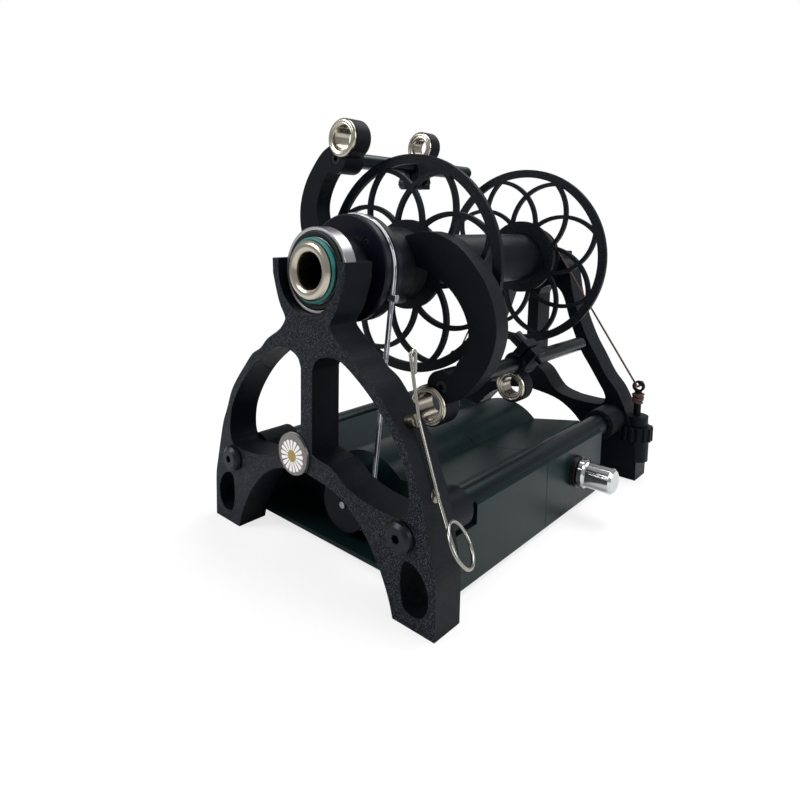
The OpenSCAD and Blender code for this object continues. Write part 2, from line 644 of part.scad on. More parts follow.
// yoke: two arms, one turned half round, that end at the rods
yk = rod_radius/62.4;
arm_outer = smooth([polar(50, 19*yk), polar(33, 30.5*yk), polar(15, 42.3*yk), polar(-2, 53.5*yk),
    polar(-14, 61.5*yk), polar(-25, 67*yk), polar(-37, 69.9*yk), polar(-50, 71*yk),
    polar(-57, 70.2*yk)], 5);
arm_inner = smooth([[rod_x*-1 - 5.6, -rod_z + 2], [38.6*yk, -46*yk], [45.7*yk, -35.7*yk],
    [47.6*yk, -26.5*yk], [44.8*yk, -17.2*yk], [37.2*yk, -7.9*yk], [26*yk, -1.3*yk],
    [16*yk, 1.5*yk]], 5);
eyelet_at = polar(rod_angle - 8.6, rod_radius + 5.6);
holder_r = eyelet_d/2 + 1.5;
module yoke_arm_flat() {
    polygon(concat(arm_outer, arm_inner));
}
module flyer_yoke() color(black) placed() difference() {
    union() {
        on_axis(yoke_y) plate_y(yoke_t) {
            circle(r = barrel_d/2);
            yoke_arm_flat();
            rotate(180) yoke_arm_flat();
        }
        for (a = [0, 180]) on_axis(0) rotate([0, a, 0]) {
            translate([rod_x, yoke_y, rod_z]) along_y(yoke_t + 4, 7.5);
            translate([eyelet_at[0], yoke_y - 0.6, eyelet_at[1]]) along_y(10, holder_r);
        }
    }
    for (a = [0, 180]) on_axis(0) rotate([0, a, 0]) {
        translate([rod_x, yoke_y - 1, rod_z]) {
            along_y(4.2, 3.2 + sitting);
            along_y(12, 1.5 + sitting);
        }
        translate([rod_x, yoke_y + 5.5, rod_z]) along_y(20, rod_d/2 + sitting);
        translate([eyelet_at[0], yoke_y - 5, eyelet_at[1]])
            along_y(30, grommet_body(eyelet_d/2) + sitting);
    }
    on_axis(yoke_y + 1) along_y(20, shaft_r + sitting);
    on_axis(yoke_y - 1) along_y(6, shaft_r + sitting);
}
module flyer_shaft() color(steel) placed() on_axis(yoke_y - 3.4) turned_y()
    polygon([[0, 0], [shaft_r, 0], [shaft_r, shaft_end - yoke_y + 2.4],
        [shaft_r - 1, shaft_end - yoke_y + 3.4], [0, shaft_end - yoke_y + 3.4]]);
module rod(len) {
    difference() {
        turned_y() polygon([[0, 0], [rod_d/2, 0], [rod_d/2, len - 2], [rod_d/2 - 0.7, len - 0.6],
            [rod_d/2 - 2, len], [0, len]]);
        translate([0, -1, 0]) along_y(13, 1.5 + sitting);
    }
}
rod_start = yoke_y + 5.5;
lower_rod_len = rear_front - rod_gap - rod_start;
module upper_rod() color(dark) placed() on_axis(0) translate([rod_x, rod_start, rod_z])
    rod(upper_rod_len);
module lower_rod() color(dark) placed() on_axis(0) translate([-rod_x, rod_start, -rod_z])
    rod(lower_rod_len);
module rod_bolts() color(dark) placed() for (a = [0, 180]) on_axis(0) rotate([0, a, 0])
    translate([rod_x, yoke_y + 0.2, rod_z]) {
        rotate([-90, 0, 0]) difference() {
            cylinder(h = 3, r = 3);
            translate([0, 0, -1]) cylinder(h = 2.6, r = 1.4, $fn = 6);
        }
        translate([0, 2.9, 0]) along_y(13, 1.5);
    }
// pressed nickel grommet of lip radius r in a wall of thickness h that starts at y = 0
grommet_wall = 0.8;
function grommet_body(r) = r - 1.3;
module grommet(r, h, rear_lip) {
    c = r - 1.05;
    bore = grommet_body(r) - grommet_wall;
    back = h + (rear_lip ? 0.02 : 0.8);
    turned_y() polygon(concat(
        [for (a = [0:30:150]) [c + 1.05*cos(a), -0.02 - 1.1*sin(a)]], [[bore, 0.4]],
        rear_lip ? concat([[bore, h - 0.4]],
        [for (a = [210:30:360]) [c + 1.05*cos(a), back - 1.1*sin(a)]]) : [[bore, back],
        [grommet_body(r), back]],
        rear_lip ? [[grommet_body(r), back]] : [], [[grommet_body(r), -0.02]]));
}
module fixed_grommets() color(nickel) placed() for (a = [0, 180]) on_axis(0) rotate([0, a, 0])
    translate([eyelet_at[0], yoke_y - 0.6, eyelet_at[1]]) grommet(eyelet_d/2, 10, false);

// sliding eyelets: a split clamp on the rod, a holder for the grommet, a thumb screw
slide_gap = 12.2;
slide_r = slide_eyelet_d/2;
slide_len = 12;
slide_ring_len = 7.4;
ear_turn = 150;
module slide_frame(side) {
    y0 = side > 0 ? 3.5 : 7.5;
    on_axis(y0) rotate([0, side > 0 ? 0 : 180, 0])
        translate([rod_x, 0, rod_z]) rotate([0, side > 0 ? 30 : 8, 0]) children();
}
module slide_body(side) {
    turn = side*ear_turn;
    difference() {
        union() {
            along_y(slide_len, rod_d/2 + 2.3);
            translate([0, 0, slide_gap]) along_y(slide_ring_len, slide_r + 1.8);
            translate([-4.2, 0.3, 0]) cube([8.4, slide_ring_len - 0.6, slide_gap - 6.4]);
            rotate([0, turn, 0]) translate([-5, 0.3, 0]) cube([10, slide_len - 0.6, 12.4]);
        }
        translate([0, -1, 0]) along_y(slide_len + 2, rod_d/2 + 0.05);
        translate([0, -1, slide_gap]) along_y(slide_ring_len + 2, grommet_body(slide_r) + sitting);
        translate([0, slide_ring_len, slide_gap]) along_y(1.9, slide_r + 0.3);
        rotate([0, turn, 0]) {
            translate([-0.6, -1, 0]) cube([1.2, slide_len + 2, 20]);
            translate([-10, slide_len/2, 8.6]) rotate([0, 90, 0])
                cylinder(h = 20, r = 1.5 + sitting, $fn = 32);
        }
    }
}
module slide_grommet() {
    translate([0, 0, slide_gap]) grommet(slide_r, slide_ring_len, true);
}
module slide_screw(side) {
    rotate([0, side*ear_turn, 0]) translate([0, slide_len/2, 8.6])
        rotate([0, 0, side > 0 ? 180 : 0]) translate([-11.4, 0, 0]) rotate([0, 90, 0]) {
            difference() {
                cylinder(h = 6.3, r = 3.6, $fn = 36);
                for (i = [0:11]) rotate([0, 0, i*30]) translate([3.9, 0, -1])
                    cylinder(h = 9, r = 0.6, $fn = 16);
            }
            cylinder(h = 20, r = 1.5, $fn = 32);
        }
}
module upper_eyelet() color(black) placed() slide_frame(1) slide_body(1);
module upper_eyelet_grommet() color(nickel) placed() slide_frame(1) slide_grommet();
module upper_eyelet_screw() color(dark) placed() slide_frame(1) slide_screw(1);
module lower_eyelet() color(black) placed() slide_frame(-1) slide_body(-1);
module lower_eyelet_grommet() color(nickel) placed() slide_frame(-1) slide_grommet();
module lower_eyelet_screw() color(dark) placed() slide_frame(-1) slide_screw(-1);

// bobbin
flange_r = flange_d/2;
petal_r = (flange_r - 0.3)/2;
core_r = core_d/2;
module flange_flat() {
    difference() {
        circle(r = flange_r, $fn = 120);
        circle(r = flange_r - rim_w, $fn = 120);
    }
    intersection() {
        circle(r = flange_r - rim_w/2, $fn = 120);
        for (i = [0:petals - 1]) rotate(i*360/petals) translate([petal_r, 0]) difference() {
            circle(r = petal_r + strand_w/2, $fn = 72);
            circle(r = petal_r - strand_w/2, $fn = 72);
        }
    }
    circle(r = flange_hub_d/2);
}
module flange(y) {
    difference() {
        on_axis(y) rotate([0, 4, 0]) plate_y(flange_t) flange_flat();
        on_axis(y - 1) along_y(flange_t + 2, core_r - 2);
    }
}
module bobbin_front_flange() color(black) placed() flange(bobbin_y);
module bobbin_rear_flange() color(black) placed() {
    flange(bobbin_end - flange_t);
    on_axis(bobbin_end) turned_y() polygon([[core_r - 4.4, 0], [drum_d/2, 0],
        [drum_d/2, drum_len - 5.4], [drum_d/2 - 1.4, drum_len - 4], [drum_d/2 - 1.4, drum_len - 2],
        [drum_d/2, drum_len - 1], [drum_d/2, drum_len], [core_r - 4.4, drum_len]]);
}
module bobbin_core() color(black) placed() on_axis(bobbin_y) turned_y()
    polygon([[core_r - 4.4, 0], [core_r - 2 - sitting, 0], [core_r - 2 - sitting, flange_t],
        [core_r, flange_t], [core_r, bobbin_len - flange_t],
        [core_r - 2 - sitting, bobbin_len - flange_t], [core_r - 2 - sitting, bobbin_len],
        [core_r - 4.4, bobbin_len]]);
module bobbin_bushes() color([0.75, 0.7, 0.6]) placed() for (y = [bobbin_y - 1.2,
    bobbin_end + drum_len - 9]) on_axis(y)
    ring_y(9, core_r - 4.4 - sitting, shaft_r + running);

// brake: a cord round the drum, drawn tight by a screw on the rear maiden's right leg
brake_x = rail_x + 12.7;
brake_y = rear_front + 7.5;
wheel_top = 31.5;
wheel_h = 8;
cord_r = 0.6;
drum_groove_r = drum_d/2 - 1.4;
post_r = 2;
ring_z = 55.3;
anchor_x = -56;
anchor_z = 53;
loop_x = -62;
module rope(a, b, r) {
    d = b - a;
    h = norm(d);
    translate(a) rotate([0, acos(d[2]/h), atan2(d[1], d[0])]) cylinder(h = h, r = r, $fn = 16);
}
module knuckle(a, r) { translate(a) sphere(r = 1.12*r, $fn = 16); }
groove_r = drum_groove_r + cord_r + 0.05;
// angle at which a line to p leaves the circle of radius r round the axis
function leave(p, r, s) = atan2(p[1], p[0]) + s*acos(r/norm(p));
a_right = leave([brake_x, ring_z - axis_height], groove_r, 1);
a_left = 360 + leave([loop_x, anchor_z + 2.2 - axis_height], groove_r, -1);
module brake_cord() color(brown) placed() {
    p1 = [groove_r*cos(a_right), groove_y, axis_height + groove_r*sin(a_right)];
    p2 = [brake_x, brake_y - 2.2, ring_z];
    p3 = [brake_x, brake_y + 2.6, ring_z];
    q1 = [groove_r*cos(a_left), groove_y, axis_height + groove_r*sin(a_left)];
    q2 = [loop_x, brake_y, anchor_z + 2.2];
    on_axis(groove_y) rotate([90, 0, 0]) rotate([0, 0, a_right])
        rotate_extrude(angle = a_left - a_right, $fn = 72) translate([groove_r, 0])
        circle(r = cord_r, $fn = 16);
    rope(p1, p2, cord_r);
    rope(q1, q2, cord_r);
    knuckle(p1, cord_r);
    knuckle(q1, cord_r);
    rope(p2, p3, cord_r);
    knuckle(p2, cord_r);
    knuckle(p3, 1.2);
    translate([loop_x, brake_y, anchor_z]) rotate([0, 90, 0]) rotate_extrude()
        translate([2.2, 0]) circle(r = cord_r, $fn = 16);
}
module cord_anchor() color(dark) placed() translate([anchor_x + 6, brake_y, anchor_z])
    rotate([0, -90, 0]) {
        cylinder(h = 16.5, r = 1.5, $fn = 32);
        translate([0, 0, 16]) cylinder(h = 1.2, r = 3.2, $fn = 32);
    }
module brake_thumbwheel() color(black) placed()
    translate([brake_x, brake_y, wheel_top - wheel_h]) difference() {
        cylinder(h = wheel_h, r = wheel_d/2);
        translate([0, 0, -1]) cylinder(h = wheel_h + 2, r = post_r + running);
        for (i = [0:wheel_notches - 1]) rotate(i*360/wheel_notches)
            translate([wheel_d/2 + 0.5, 0, -1]) cylinder(h = wheel_h + 2, r = 1.5, $fn = 24);
    }
module brake_post() color(black) placed() translate([brake_x, brake_y, 0]) {
    difference() {
        union() {
            translate([0, 0, 7.8]) cylinder(h = ring_z - 2.4 - 7.8, r = post_r);
            translate([0, -1.2, ring_z]) along_y(2.4, 3.3);
        }
        translate([0, -3, ring_z]) along_y(6, 2.1);
    }
}

// threading hook: a wire with a ring handle, held on two magnets in the front maiden's side
hook_y = front_y + maiden_t/2;
wire_r = 0.7;
hook_ring_r = 8.3;
ring_turn = 22;
ring_lean = 59;
// the magnets: where on the outline they sit, which way they face and how far they stand out
magnets = [[m(0.705, -0.42), 20, 4.3], [m(0.893, -0.612), 19, 0.6]];
function stud(i) = [magnets[i][0][0], hook_y, axis_height + magnets[i][0][1]];
function out(i, d) = stud(i) + d*[cos(magnets[i][1]), 0, sin(magnets[i][1])];
function over_magnet(i, gap) = out(i, magnets[i][2] + wire_r + gap);
module hook_magnet(i, extra) {
    translate(stud(i)) rotate([0, 90 - magnets[i][1], 0]) translate([0, 0, -2])
        cylinder(h = 2 + magnets[i][2], r = 2.5 + extra, $fn = 32);
}
module hook_magnets() color(steel) placed() for (i = [0, 1]) hook_magnet(i, 0);
module threading_hook() color(steel) placed() {
    top = stud(0) + [0.6, 0, 25.9];
    tip = top + [0, 3, 0];
    end = tip - [0, 0, 7];
    ring_c = stud(1) + [12.2, 0, -14.2];
    ring_side = ring_c + hook_ring_r*[sin(ring_turn), -cos(ring_turn), 0];
    path = [top, over_magnet(0, 0.5), over_magnet(1, 0.3), ring_side];
    for (i = [1:3]) rope(path[i - 1], path[i], wire_r);
    rope(tip, end, wire_r);
    for (p = concat(path, [tip, end])) knuckle(p, wire_r);
    translate(top + [0, 1.5, 0]) rotate([90, 0, -90]) rotate_extrude(angle = 180, $fn = 48)
        translate([1.5, 0]) circle(r = wire_r, $fn = 16);
    translate(ring_c) rotate([0, 0, ring_turn]) rotate([0, ring_lean, 0]) rotate_extrude()
        translate([hook_ring_r, 0]) circle(r = wire_r, $fn = 16);
}
module parking_disc() color([0.45, 0.45, 0.44]) placed() translate([-7, front_y - 0.3, 49.8])
    rotate([90, 0, 0]) cylinder(h = 1.5, r = 9.4);

front_maiden();
rear_maiden();
rails();
rail_bolts();
housing_front_shell();
housing_rear_shell();
housing_bottom_cover();
cover_screws();
rubber_feet();
motor_can();
motor_screws();
motor_shaft();
motor_pulley();
drive_band();
control_board();
power_inlet();
direction_rocker();
rocker_frame();
rocker_pin();
speed_pot();
speed_pot_shaft();
pot_washer();
speed_knob();
front_bearing_outer();
front_bearing_inner();
rear_bearing_outer();
rear_bearing_inner();
orifice_grommet();
orifice_o_ring();
orifice_tube();
orifice_hub();
drive_whorl();
whorl_screws();
flyer_yoke();
flyer_shaft();
upper_rod();
lower_rod();
rod_bolts();
fixed_grommets();
upper_eyelet();
upper_eyelet_grommet();
upper_eyelet_screw();
lower_eyelet();
lower_eyelet_grommet();
lower_eyelet_screw();
bobbin_core();
bobbin_front_flange();
bobbin_rear_flange();
bobbin_bushes();
brake_cord();
cord_anchor();
brake_thumbwheel();
brake_post();
threading_hook();
hook_magnets();
parking_disc();
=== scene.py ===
# %% [markdown]
# # Dressing an electric yarn spinner
# The solids come from the CAD model, already sized and placed. This lesson gives them
# their finishes: printed plastic, nickel, polished steel, rubber and cord. It also adds
# the few small pieces that are easier to model by hand than to engineer.

# %% Load the frame
import math

import bpy
from mathutils import Matrix, Vector


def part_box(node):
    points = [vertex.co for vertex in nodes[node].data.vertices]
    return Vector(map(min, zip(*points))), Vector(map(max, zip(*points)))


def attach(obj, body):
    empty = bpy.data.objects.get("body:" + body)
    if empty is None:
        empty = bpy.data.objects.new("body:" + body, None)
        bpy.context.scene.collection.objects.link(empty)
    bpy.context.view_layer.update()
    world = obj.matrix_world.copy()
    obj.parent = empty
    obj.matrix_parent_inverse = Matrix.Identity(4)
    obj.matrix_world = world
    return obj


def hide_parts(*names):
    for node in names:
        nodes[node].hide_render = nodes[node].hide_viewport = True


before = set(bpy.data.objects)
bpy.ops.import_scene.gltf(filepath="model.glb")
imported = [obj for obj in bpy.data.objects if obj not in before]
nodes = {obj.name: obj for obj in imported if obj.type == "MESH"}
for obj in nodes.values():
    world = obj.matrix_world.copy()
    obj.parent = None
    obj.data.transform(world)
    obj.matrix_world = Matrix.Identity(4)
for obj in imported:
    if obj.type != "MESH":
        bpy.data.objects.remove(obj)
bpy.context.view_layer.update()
bpy.ops.object.select_all(action="DESELECT")

# %% [markdown]
# ## Shader maths as Python
# A material is a graph of nodes, and graphs are slow to read. A small class wraps one
# socket of a node and overloads the operators, so that `1 - mask` adds a Math node and
# the recipe for a finish reads as a formula. Everything else comes from `add`, which
# takes a node's type, its settings and what goes into its sockets.

# %% A socket that does arithmetic
MM = 0.001


class Signal:
    """One output socket of a node, to be used in sums and products."""

    def __init__(self, graph, socket):
        self.graph, self.socket = graph, socket

    def _math(self, operation, *values):
        return self.graph.add("ShaderNodeMath", {"operation": operation}, dict(enumerate(values)))

    def __add__(self, other):
        return self._math("ADD", self, other)

    def __sub__(self, other):
        return self._math("SUBTRACT", self, other)

    def __rsub__(self, other):
        return self._math("SUBTRACT", other, self)

    def __mul__(self, other):
        return self._math("MULTIPLY", self, other)

    __radd__ = __add__
    __rmul__ = __mul__

    def sine(self):
        return self._math("SINE", self)

    def absolute(self):
        return self._math("ABSOLUTE", self)

    def power(self, exponent):
        return self._math("POWER", self, exponent)

    def above(self, edge, soft):
        """0 below the edge, 1 above it, over a soft step."""
        return self.graph.add("ShaderNodeMapRange", {"interpolation_type": "SMOOTHSTEP"},
                              {"Value": self, "From Min": edge - soft, "From Max": edge + soft})


# %% A material and its graph
class Finish:
    """A Principled material whose sockets are set with numbers, colours or signals."""

    def __init__(self, name):
        self.material = bpy.data.materials.new(name)
        self.material.use_nodes = True
        self.tree = self.material.node_tree
        self.surface = self.tree.nodes["Principled BSDF"]

    def add(self, kind, settings=None, inputs=None, output=0):
        """A node of this type, with its settings and then what goes into its sockets."""
        node = self.tree.nodes.new(kind)
        for key, value in (settings or {}).items():
            setattr(node, key, value)
        for key, value in (inputs or {}).items():
            self.feed(node.inputs[key], value)
        return Signal(self, node.outputs[output])

    def feed(self, socket, value):
        if isinstance(value, Signal):
            self.tree.links.new(value.socket, socket)
        elif isinstance(value, (tuple, list)) and len(socket.default_value) == 4:
            socket.default_value = (*value[:3], 1)
        else:
            socket.default_value = value

    def set(self, **values):
        """Sets sockets of the surface by name, with _ for each space."""
        for key, value in values.items():
            self.feed(self.surface.inputs[key.replace("_", " ")], value)
        return self

    def place(self):
        """The point on the piece, in metres, in the frame of the object."""
        return self.add("ShaderNodeTexCoord", output="Object")

    def xyz(self):
        split = self.add("ShaderNodeSeparateXYZ", inputs={"Vector": self.place()})
        return [Signal(self, split.socket.node.outputs[i]) for i in range(3)]

    def noise(self, size, detail=3.0, vector=None):
        """Noise from 0 to 1 whose lumps are about `size` metres across."""
        return self.add("ShaderNodeTexNoise", inputs={
            "Vector": vector or self.place(), "Scale": 1 / size, "Detail": detail})

    def mix(self, factor, first, second):
        """Blends two colours; 6, 7 and 2 are the colour sockets of a node that has many."""
        return self.add("ShaderNodeMix", {"data_type": "RGBA"},
                        {"Factor": factor, 6: first, 7: second}, output=2)

    def bump(self, height, depth, edge=0.35 * MM):
        """Height from 0 to 1 that stands `depth` metres out, over edges rounded by `edge`."""
        rounded = self.add("ShaderNodeBevel", {"samples": 4}, {"Radius": edge})
        self.set(Normal=self.add("ShaderNodeBump", inputs={
            "Height": height, "Distance": depth, "Normal": rounded}))
        return self


def wear(finish, *names):
    """Paints CAD nodes with a finish."""
    for name in names:
        node = nodes[name]
        node.data.materials.clear()
        node.data.materials.append(finish.material)
    print(finish.material.name, "on", len(names), "nodes")


# %% [markdown]
# ## Printed plastic
# The maidens, the flyer and the bobbin are printed in black plastic. The face that lay
# on the printer's textured plate is grainy, and its sparkle is painted: pale specks of
# colour on the peaks of the grain stand for glints. The sides show layers as fine lines.
# Grain and lines are far too small to model, so they are bump: grain from noise, and
# lines from a sine along the direction in which the piece was built up. Both show a
# little larger than life, or they would be lost between the picture's pixels.

# %% How a print looks
LAYER = 0.55 * MM
GRAIN = 0.32 * MM
BLOTCH = 12 * MM
INK = (0.0012, 0.0016, 0.0026)
INK_LIT = (0.0028, 0.0042, 0.0070)
# Next: the colour of the painted sparkle, pale specks that stand in for glints, and how strongly
# they show on the plate face of plain pieces and of flanges.
INK_SPARKLE_PAINT = (0.048, 0.055, 0.066)
PLAIN_SPARKLE_SHARE, FLANGE_SPARKLE_SHARE = 0.95, 0.4


def printed(name, layer_axis, plate=None, gloss=0.4, colour=INK, lit=INK_LIT, sparkle_paint=INK_SPARKLE_PAINT,
            sheen=0.07, ridge=0.9, sparkle_share=PLAIN_SPARKLE_SHARE):
    """Printed plastic; the face in the plane y = plate is the one that lay on the plate."""
    f = Finish(name)
    axes = f.xyz()
    blotch = f.noise(BLOTCH)
    grain = f.noise(GRAIN, detail=1.5)
    lines = (axes[layer_axis] * (2 * math.pi / LAYER)).sine() * 0.5 + 0.5
    flat = 1 - (axes[1] - plate).absolute().above(0.2 * MM, 0.1 * MM) if plate else 0.0
    # Painted sparkle: pale specks on the peaks of the grain stand in for glints, strong on the
    # plate face and faint elsewhere.
    painted_sparkle = grain.above(0.6, 0.06) * (flat * sparkle_share + 0.05)
    base = f.mix(blotch, colour, lit)
    f.set(Base_Color=f.mix(painted_sparkle, base, sparkle_paint), Specular_IOR_Level=sheen,
          Roughness=gloss + blotch * 0.12 + painted_sparkle * 0.1)
    return f.bump(grain * (flat * 0.8 + 0.2) + lines * (1 - flat) * ridge, 0.07 * MM)


# %% The printed pieces
for name in ("front_maiden", "rear_maiden", "flyer_yoke", "bobbin_front_flange",
             "bobbin_rear_flange", "upper_eyelet", "lower_eyelet"):
    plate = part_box(name)[0][1]
    sparkle_share = FLANGE_SPARKLE_SHARE if "flange" in name else PLAIN_SPARKLE_SHARE
    wear(printed(name + "_print", 1, plate, sparkle_share=sparkle_share), name)
wear(printed("turned_print", 1, gloss=0.32, sheen=0.09),
     "orifice_tube", "orifice_hub", "bobbin_core", "motor_pulley")
# The whorl's blue tint is painted sheen: the purple-blue sheen on it is painted into its colours.
wear(printed("whorl_print", 1, gloss=0.24, colour=(0.0015, 0.0015, 0.004),
             lit=(0.003, 0.003, 0.010), sheen=0.14), "drive_whorl")
wear(printed("upright_print", 2), "brake_thumbwheel", "brake_post")

# %% [markdown]
# ## The housing
# The housing is a dark blue-green print whose layers hardly show. The same recipe makes
# it, with other colours, a smoother gloss and low ridges.

# %% Blue-green shells
wear(printed("shell_print", 2, gloss=0.24, colour=(0.0016, 0.0058, 0.0060),
             lit=(0.0032, 0.0110, 0.0112), sparkle_paint=(0.02, 0.034, 0.036), sheen=0.1,
             ridge=0.15),
     "housing_front_shell", "housing_rear_shell", "housing_bottom_cover")

# %% [markdown]
# ## Metal
# Bare metal has no colour of its own under the gloss: its base colour tints what it
# mirrors. Polished, ground and blackened parts differ in that tint, in roughness, and in
# the fine scratches that run along the piece.

# %% How metal looks
SCRATCH_STRETCH = 0.06


def metal(name, colour, rough, scratch=0.0, size=0.35 * MM):
    """Metal whose scratches are `scratch` millimetres deep and run along Y."""
    f = Finish(name)
    x, y, z = f.xyz()
    stretched = f.add("ShaderNodeCombineXYZ", inputs={
        "X": x, "Y": y * SCRATCH_STRETCH, "Z": z})
    fine = f.noise(size, vector=stretched)
    cloud = f.noise(5 * MM)
    f.set(Base_Color=f.mix(cloud, colour, [c * 0.82 for c in colour]), Metallic=1.0,
          Roughness=rough + fine * 0.08 + cloud * 0.04)
    return f.bump(fine, scratch * MM) if scratch else f


# %% Nickel, steel, wire, black oxide and anodised tube
nickel = metal("nickel", (0.40, 0.365, 0.30), 0.17)
wear(nickel, "orifice_grommet", "fixed_grommets", "upper_eyelet_grommet",
     "lower_eyelet_grommet", "hook_magnets")
wear(metal("polished_steel", (0.50, 0.505, 0.51), 0.07), "speed_knob")
wear(metal("ground_steel", (0.30, 0.30, 0.31), 0.24, scratch=0.01),
     "front_bearing_outer", "front_bearing_inner", "rear_bearing_outer",
     "rear_bearing_inner", "flyer_shaft", "motor_shaft", "speed_pot_shaft", "rocker_pin")
wear(metal("motor_steel", (0.45, 0.45, 0.46), 0.35, scratch=0.02), "motor_can")
wear(metal("bright_wire", (0.25, 0.245, 0.22), 0.2), "threading_hook")
wear(metal("black_oxide", (0.022, 0.023, 0.027), 0.36),
     "rail_bolts", "cover_screws", "motor_screws", "whorl_screws", "rod_bolts",
     "upper_eyelet_screw", "lower_eyelet_screw", "cord_anchor")
wear(metal("black_anodised", (0.012, 0.018, 0.020), 0.26, scratch=0.01),
     "rails", "upper_rod", "lower_rod")

# %% [markdown]
# ## Rubber, the clear band and the small parts
# The O-ring is teal rubber, dull and slightly mottled. The drive band is clear
# polyurethane over black. The black seen through it is painted into its colour as dark,
# and thin highlight lines along it are painted in as bright colour.

# %% Soft and small finishes
def plain(name, colour, rough, size=1.5 * MM, depth=0.03 * MM, vary=0.75, **extra):
    """Rubber or moulded plastic: one colour that varies a little, over low lumps."""
    f = Finish(name)
    lumps = f.noise(size)
    f.set(Base_Color=f.mix(lumps, colour, [c * vary for c in colour]),
          Roughness=rough + lumps * 0.12, **extra)
    return f.bump(lumps, depth)


wear(plain("teal_rubber", (0.004, 0.15, 0.13), 0.32), "orifice_o_ring")
wear(plain("foot_rubber", (0.012, 0.012, 0.012), 0.7), "rubber_feet")
wear(plain("bush_plastic", (0.6, 0.56, 0.48), 0.4), "bobbin_bushes")
wear(plain("board_green", (0.01, 0.09, 0.04), 0.35), "control_board")
wear(plain("switch_plastic", (0.006, 0.006, 0.007), 0.25, depth=0.01 * MM,
           Specular_IOR_Level=0.3),
     "power_inlet", "direction_rocker", "rocker_frame", "speed_pot", "pot_washer")


# %% Clear drive band
def clear_band(name, middle, lines=(-0.8 * MM, 0.1 * MM, 0.85 * MM)):
    """Painted dark for the black seen through it, with painted highlight lines along its length.
    """
    f = Finish(name)
    y = f.xyz()[1]
    # Painted highlights: bright lines along the band at these offsets, broken by noise into
    # streaks.
    painted_highlight = 0.0
    for line in lines:
        painted_highlight = (1 - (y - (middle + line)).absolute().above(0.12 * MM, 0.09 * MM)) + painted_highlight
    streak = f.noise(6 * MM).above(0.42, 0.1)
    f.set(Base_Color=f.mix(painted_highlight * streak, (0.035, 0.037, 0.05), (0.70, 0.74, 0.78)),
          Roughness=0.12 + streak * 0.05, Coat_Weight=0.6)
    return f.bump(painted_highlight, 0.05 * MM)


low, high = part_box("drive_band")
wear(clear_band("clear_band", (low[1] + high[1]) / 2), "drive_band")

# %% [markdown]
# ## The parking disc
# A metal disc with a printed flower holds the yarn's end. The flower is a plain rosette:
# a shape that repeats in the angle round a point near the disc's middle, cut off by
# radius and swayed a little by noise. All of it is worked out from the point on the disc,
# so no picture is needed.

# %% Printed flower
low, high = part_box("parking_disc")
flower_x = (low[0] + high[0]) / 2 - 0.4 * MM
flower_z = (low[2] + high[2]) / 2 - 1.0 * MM
disc_front = low[1]


def flower(name, petals=17, reach=7.9 * MM, eye_reach=2.7 * MM):
    f = Finish(name)
    x, y, z = f.xyz()
    across, up = x - flower_x, z - flower_z
    angle = f.add("ShaderNodeMath", {"operation": "ARCTAN2"}, {0: up, 1: across})
    radius = (across * across + up * up).power(0.5)
    sway = f.noise(4 * MM) * 0.7
    lobe = (angle * (petals / 2) + sway).sine().absolute()
    length = lobe.power(0.5) * (1.1 * MM) + (reach - 1.1 * MM) - sway * (1.6 * MM)
    outside = (radius - length).above(0, 0.15 * MM)
    petal = (1 - outside) * lobe.above(0.42, 0.12)
    eye = 1 - radius.above(eye_reach, 0.15 * MM)
    front = 1 - y.above(disc_front + 0.3 * MM, 0.05 * MM)
    stain = f.noise(1.2 * MM)
    taupe = f.mix(stain, (0.075, 0.070, 0.060), (0.12, 0.11, 0.10))
    metal_edge = f.mix(front, (0.55, 0.54, 0.50), taupe)
    white = f.mix(petal * front, metal_edge, (0.66, 0.63, 0.62))
    yellow = f.mix(stain, (0.16, 0.11, 0.005), (0.34, 0.22, 0.01))
    f.set(Base_Color=f.mix(eye * front, white, yellow), Roughness=0.3 + stain * 0.15,
          Metallic=1 - front)
    return f.bump(petal, 0.04 * MM)


wear(flower("printed_flower"), "parking_disc")

# %% [markdown]
# ## Rolled lips and seals
# The wire guides are pressed grommets: the metal is rolled outwards over the holder, so
# its lip is a fat round ring. The ball bearings are closed by thin black rubber seals.
# Both are rings that lie on a flat face, so one function makes them: a torus is flattened
# in edit mode, and the half that lies below the face is pulled in to a shallow seat.

# %% Where things are
def middle_of(node):
    """The middle of a node's box, as x and z."""
    low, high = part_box(node)
    return (low[0] + high[0]) / 2, (low[2] + high[2]) / 2


AXIS_X, AXIS_Z = middle_of("front_bearing_outer")
print("the axis is", round(AXIS_Z / MM, 1), "mm over the table")

# %% A ring seated on a face that looks along Y
SEAT_SHARE = 0.25


